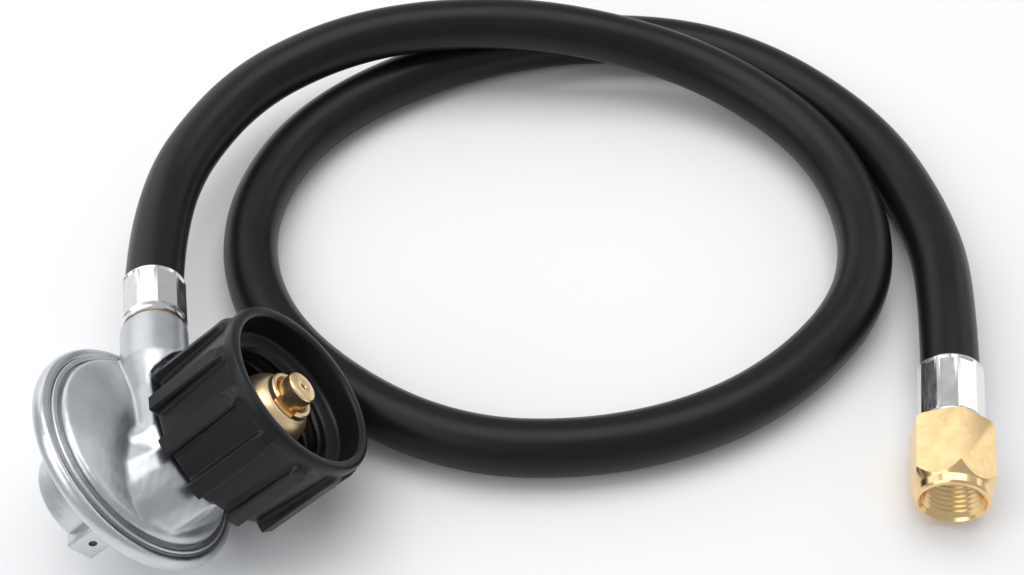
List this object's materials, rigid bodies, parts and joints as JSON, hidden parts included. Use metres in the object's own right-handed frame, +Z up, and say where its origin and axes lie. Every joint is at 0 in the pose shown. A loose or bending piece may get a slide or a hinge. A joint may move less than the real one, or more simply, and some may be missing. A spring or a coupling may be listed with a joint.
{
  "type": "propane regulator hose",
  "caption": "Low-pressure propane regulator with a ribbed tank coupling nut, and a coiled rubber hose that ends in a hexagonal swivel flare nut.",
  "frame": {"origin": "on the surface it lies on, under the middle of the regulator's own box, without the hose and the fitting at its free end", "axes": "+Z up, +X to the right across the coil, +Y away from the free end; the regulator's axis leans 53 degrees from +Z, towards +X turned 16 degrees to +Y"},
  "size_m": [0.2374, 0.206, 0.0554],
  "materials": {
    "casting": "satin die casting",
    "bonnet_metal": "satin",
    "steel": "zinc plated",
    "rubber": "moulded nitrile rubber",
    "brass": "machined",
    "black_plastic": "fine moulded texture",
    "bushing_plastic": "moulded",
    "plated": "bright nickel plating",
    "hose_rubber": "satin extruded rubber"
  },
  "bodies": {
    "regulator": {"regulator_body": "casting", "bonnet": "bonnet_metal", "vent_screen": "steel", "closing_cap": "bonnet_metal", "main_spring": "steel", "diaphragm": "rubber", "lever_pin": "steel", "lever_bracket": "steel", "bracket_screws": "steel", "inlet_orifice": "brass", "inlet_nipple": "brass", "nose_tip": "brass", "inlet_filter": "steel", "limiter_spring": "steel", "thermal_bushing": "bushing_plastic", "outlet_stem": "brass", "ferrule_regulator_end": "plated", "hose": "hose_rubber", "ferrule_outlet_end": "plated", "stem_outlet_end": "brass"},
    "diaphragm_stack": {"diaphragm_plate": "steel", "diaphragm_stem": "steel"},
    "lever": {"valve_lever": "steel"},
    "seat": {"seat_holder": "brass", "seat_pad": "rubber"},
    "limiter": {"limiter_poppet": "brass"},
    "screw": {"adjusting_screw": "steel"},
    "nut_carrier": {"nut_washer": "bushing_plastic"},
    "tank_nut": {"coupling_nut": "black_plastic"},
    "flare_nut": {"swivel_nut": "brass"}
  },
  "joints": [
    {"name": "diaphragm_stroke", "type": "slide", "parent": "regulator", "child": "diaphragm_stack", "axis": [0.7677, 0.2201, 0.6018], "range_m": [-0.0008, 0], "stiffness_N_per_m": 2000, "springref_m": 0.001, "deforming": ["main_spring", "diaphragm"]},
    {"name": "lever_tilt", "type": "hinge", "parent": "regulator", "child": "lever", "pos_m": [-0.00785, -0.00988, 0.01726], "axis": [-0.2756, 0.9613, 0], "range_deg": [-4.4, 0]},
    {"name": "seat_slide", "type": "slide", "parent": "regulator", "child": "seat", "axis": [0.7677, 0.2201, 0.6018], "range_m": [0, 0.0003]},
    {"name": "limiter_slide", "type": "slide", "parent": "regulator", "child": "limiter", "axis": [-0.7677, -0.2201, -0.6018], "range_m": [0, 0.002], "stiffness_N_per_m": 200, "springref_m": -0.0005, "deforming": ["limiter_spring"]},
    {"name": "screw_turn", "type": "hinge", "parent": "regulator", "child": "screw", "pos_m": [-0.02755, -0.01553, 0.01522], "axis": [0.7677, 0.2201, 0.6018], "range_deg": [-360, 360]},
    {"name": "coupling_slide", "type": "slide", "parent": "regulator", "child": "nut_carrier", "axis": [0.7677, 0.2201, 0.6018], "range_m": [0, 0.002]},
    {"name": "coupling_spin", "type": "hinge", "parent": "nut_carrier", "child": "tank_nut", "pos_m": [0.01381, -0.00367, 0.02924], "axis": [0.7677, 0.2201, 0.6018], "continuous": true},
    {"name": "swivel_spin", "type": "hinge", "parent": "regulator", "child": "flare_nut", "pos_m": [0.182, -0.00631, 0.011], "axis": [-0.1599, -0.9871, 0], "continuous": true}
  ],
  "couplings": [
    {"joint": "lever_tilt", "follows": "diaphragm_stroke", "rad_per_m": 93.458},
    {"joint": "seat_slide", "follows": "diaphragm_stroke", "ratio": -0.3738}
  ]
}
